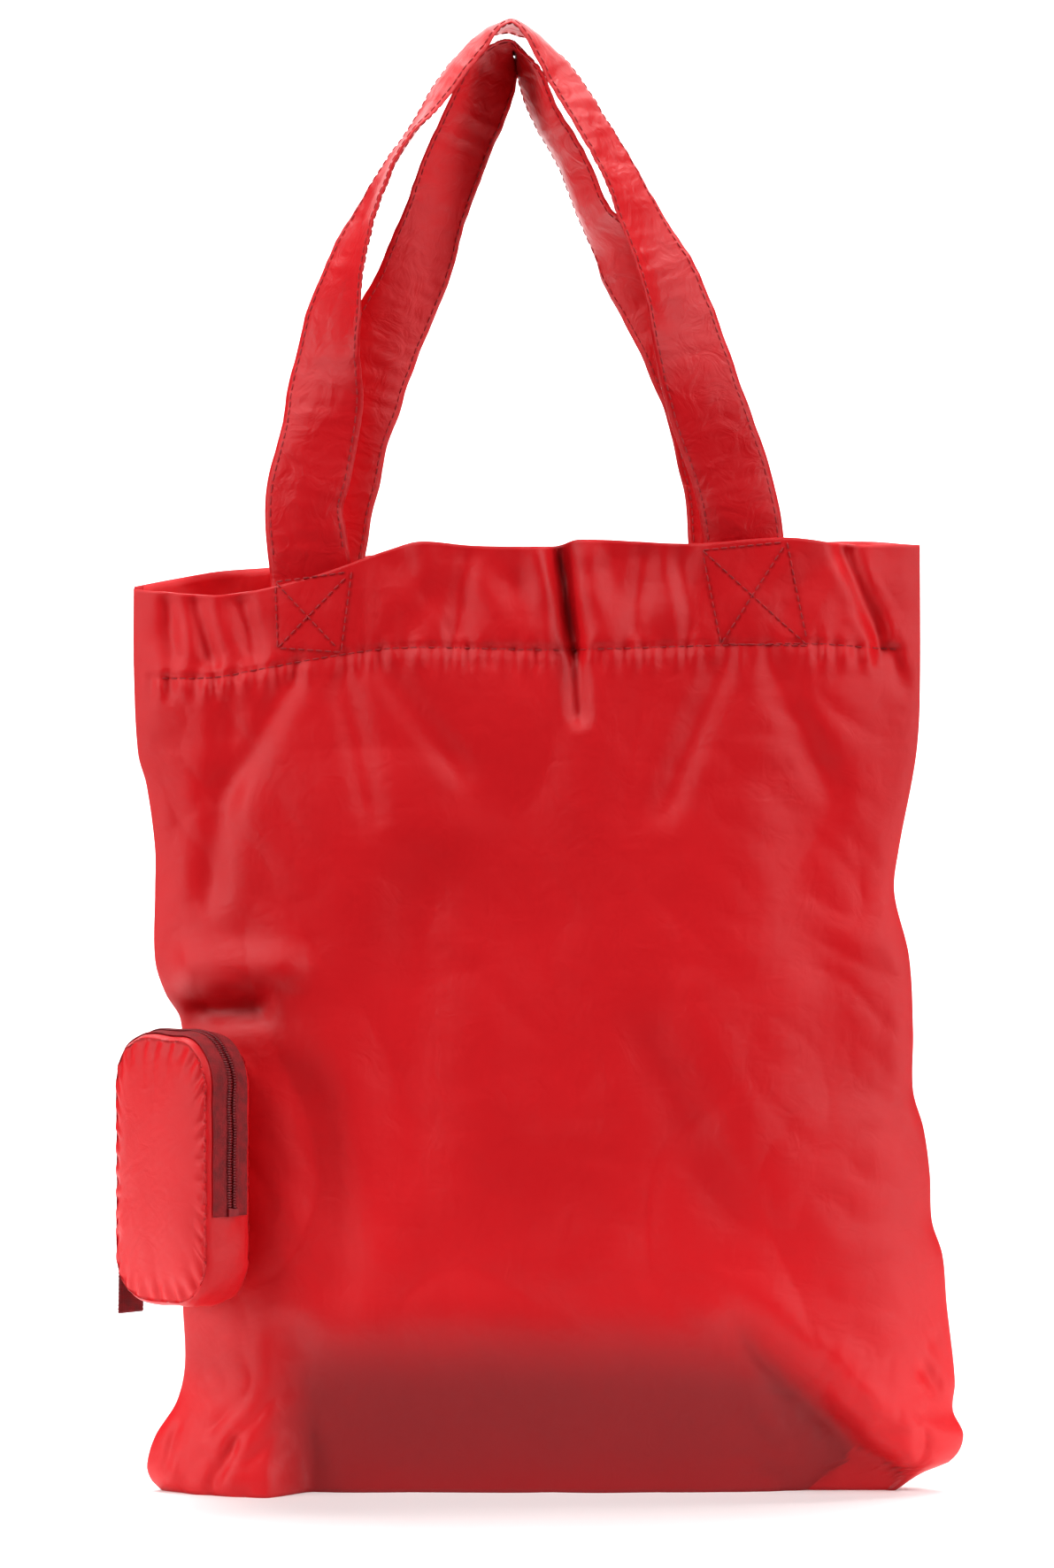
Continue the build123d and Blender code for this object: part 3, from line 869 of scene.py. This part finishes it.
def make_zip_tape(side):
    """Woven tape from beside the teeth out to the pouch's wall."""
    start, end = zip_span()
    rows, columns = 200, 22
    verts = []
    for row in range(rows + 1):
        s = start + (end - start) * row / rows
        for k in range(columns + 1):
            y = side * (0.7 + (TAPE_HALF_WIDTH - 0.7) * k / columns)
            rib = 0.16 * math.cos(math.pi * k)
            point, _ = outline_at(s, wall_sag(y, s) + POUCH_SLACK + 0.7 + rib)
            verts.append(in_pouch(point.x, y, point.z))
    name = "front" if side < 0 else "back"
    tape = mesh_piece(f"zip_tape_{name}_woven", verts, grid_faces(rows + 1, columns + 1), TAPE)
    thicken(tape, 0.0005, 0)
    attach(tape, "pouch")
    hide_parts(f"zip_tape_{name}")


def make_zip_coil(side):
    """One side's teeth: the two sides sit half a pitch apart and mesh."""
    start, end = zip_span()
    pitch = 1.25
    teeth = []
    for k in range(int((end - start - 7) / pitch)):
        s = start + 3.5 + (k + 0.5 * (side > 0)) * pitch
        inner, _ = outline_at(s, wall_sag(0, s) + POUCH_SLACK + 1.5)
        outer, _ = outline_at(s, wall_sag(0, s) + POUCH_SLACK + 1.3)
        teeth.append((in_pouch(inner.x, side * 0.3, inner.z), in_pouch(outer.x, side * 2.9, outer.z)))
    name = "front" if side < 0 else "back"
    coil = threads(f"zip_teeth_{name}", teeth, 0.0005, COIL)
    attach(coil, "pouch")
    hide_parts(f"zip_coil_{name}")


WEBBING_X = -36.1
WEBBING_HALF_WIDTH = 7.5
WEBBING_RIB_PITCH = 1.9


def make_webbing(name, node, body, curl):
    """Ribbed grosgrain strip against the pouch's far wall."""
    low, high = (corner[2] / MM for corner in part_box(node))
    columns, rows = 60, 36
    verts = []
    for row in range(rows + 1):
        z = low + (high - low) * row / rows
        for k in range(columns + 1):
            y = WEBBING_HALF_WIDTH * (2 * k / columns - 1)
            rib = 0.28 * math.cos(2 * math.pi * (z - low) / WEBBING_RIB_PITCH)
            edge = 0.3 * hump(WEBBING_HALF_WIDTH - abs(y), 0.8)
            x = WEBBING_X - rib - edge - curl * ((high - z) / (high - low)) ** 2
            verts.append(in_pouch(x, y, z))
    strip = mesh_piece(name, verts, grid_faces(rows + 1, columns + 1), WEBBING)
    thicken(strip, 0.0011, 0)
    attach(strip, body)
    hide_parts(node)


def make_seam_strip():
    """Gathered strip of cloth between the pouch's back and the side seam."""
    low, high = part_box("pouch_seam_strip")
    rows, columns = 60, 8
    verts = []
    for row in range(rows + 1):
        z = low[2] + (high[2] - low[2]) * row / rows
        for k in range(columns + 1):
            share = k / columns
            wave = 0.0007 * math.sin(row * 0.9) * math.sin(math.pi * share)
            x = low[0] + (high[0] - low[0]) * (0.25 + 0.5 * share)
            y = low[1] + (high[1] - low[1]) * (0.3 + 0.4 * share) + wave
            verts.append((x, y, z))
    strip = mesh_piece("pouch_tie_cloth", verts, grid_faces(rows + 1, columns + 1), STRAP)
    thicken(strip, 0.0012, 0)
    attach(strip, "bag")
    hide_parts("pouch_seam_strip")


def finish_cad_nodes():
    """Enamel and softened edges on the metal pieces that stay as designed."""
    for node in ("zip_slider", "zip_pull", "zip_top_stop", "zip_bottom_stop"):
        piece = frame["nodes"][node]
        piece.data.materials.clear()
        piece.data.materials.append(METAL)
        bevel = piece.modifiers.new("soft edge", "BEVEL")
        bevel.width = 0.00025
        bevel.segments = 2


# ---------------------------------------------------------------- stage, light and camera


def make_stage():
    """Pale floor that curves up into a backdrop."""
    material, nodes, links, principled = shader("pale_stage", (0.93, 0.93, 0.93), 0.9)
    colour_variation(nodes, links, principled, (0.92, 0.92, 0.92), (0.94, 0.94, 0.94), 3, 0.85, 0.95)
    verts = []
    floor_half, backdrop_half = 6, 1.0
    near, far, radius, height = -0.25, 2.5, 1.5, 5
    profile = [(near, 0), (far - radius, 0)]
    profile += [
        (far - radius + radius * math.sin(a), radius - radius * math.cos(a))
        for a in (math.pi / 2 * k / 16 for k in range(1, 17))
    ]
    profile.append((far, height))
    for y, z in profile:
        # The upright part is narrow, so that it doesn't hide the bag from a camera diagonally behind.
        half = floor_half if z == 0 else backdrop_half
        verts += [(-half, y, z), (half, y, z)]
    floor = mesh_piece("studio_floor", verts, grid_faces(len(profile), 2), material)


def area_light(name, place, target, size, power):
    light = bpy.data.lights.new(name, "AREA")
    light.shape = "RECTANGLE"
    light.size, light.size_y = size
    light.energy = power
    lamp = bpy.data.objects.new(name, light)
    lamp.location = place
    lamp.rotation_euler = (Vector(target) - Vector(place)).to_track_quat("-Z", "Y").to_euler()
    bpy.context.scene.collection.objects.link(lamp)


def make_lights():
    area_light("left_softbox", (-1.5, -1.3, 2.3), (0, 0, 0.33), (0.8, 0.8), 37)
    area_light("right_softbox", (1.5, -1.3, 2.3), (0, 0, 0.33), (0.8, 0.8), 32)
    area_light("left_strip", (-2.0, -0.9, 0.6), (0, 0, 0.3), (0.4, 1.0), 15)
    area_light("right_strip", (2.0, -0.9, 0.6), (0, 0, 0.3), (0.4, 1.0), 15)
    area_light("floor_light", (0, 1.2, 2.2), (0, 1.0, 0), (3, 1.0), 55)
    area_light("backdrop_light", (0, 0.6, 2.8), (0, 2.4, 0.8), (4, 1), 110)
    world = bpy.data.worlds.new("studio")
    world.use_nodes = True
    world.node_tree.nodes["Background"].inputs["Color"].default_value = (1, 1, 1, 1)
    world.node_tree.nodes["Background"].inputs["Strength"].default_value = 0.07
    bpy.context.scene.world = world
    bpy.context.scene.view_settings.view_transform = "Standard"


VIEW_HEIGHT = 0.744
CAMERA_DISTANCE = 2.6
CAMERA_RISE = 0.03
VIEW_MIDDLE = Vector((-0.0114, 0, 0.3356))
SENSOR = 36


def make_camera():
    camera = bpy.data.cameras.new("camera")
    camera.sensor_width = SENSOR
    camera.lens = SENSOR * CAMERA_DISTANCE / VIEW_HEIGHT
    holder = bpy.data.objects.new("camera", camera)
    holder.location = VIEW_MIDDLE + Vector((0, -CAMERA_DISTANCE, CAMERA_RISE))
    holder.rotation_euler = (VIEW_MIDDLE - holder.location).to_track_quat("-Z", "Y").to_euler()
    bpy.context.scene.collection.objects.link(holder)
    bpy.context.scene.camera = holder


# ---------------------------------------------------------------- build the scene

body = make_body()
hem_rows = [make_hem_stitches(side) for side in (-1, 1)]
for side, rim in ((-1, RIM), (1, BACK_RIM)):
    make_inner_hem(side, rim)
    make_box_stitches(side)
make_seam_binding(True)
make_seam_binding(False)
make_base_binding()
make_strap("front", FRONT_ROUTE, -1, 3)
make_strap("back", BACK_ROUTE, 1, 11)
make_pouch()
for side in (-1, 1):
    make_zip_tape(side)
    make_zip_coil(side)
make_webbing("webbing_tab_ribbed", "webbing_tab", "tab", 0.6)
make_webbing("webbing_anchor_ribbed", "tab_anchor", "pouch", 0.0)
make_seam_strip()
finish_cad_nodes()
make_stage()
make_lights()
make_camera()
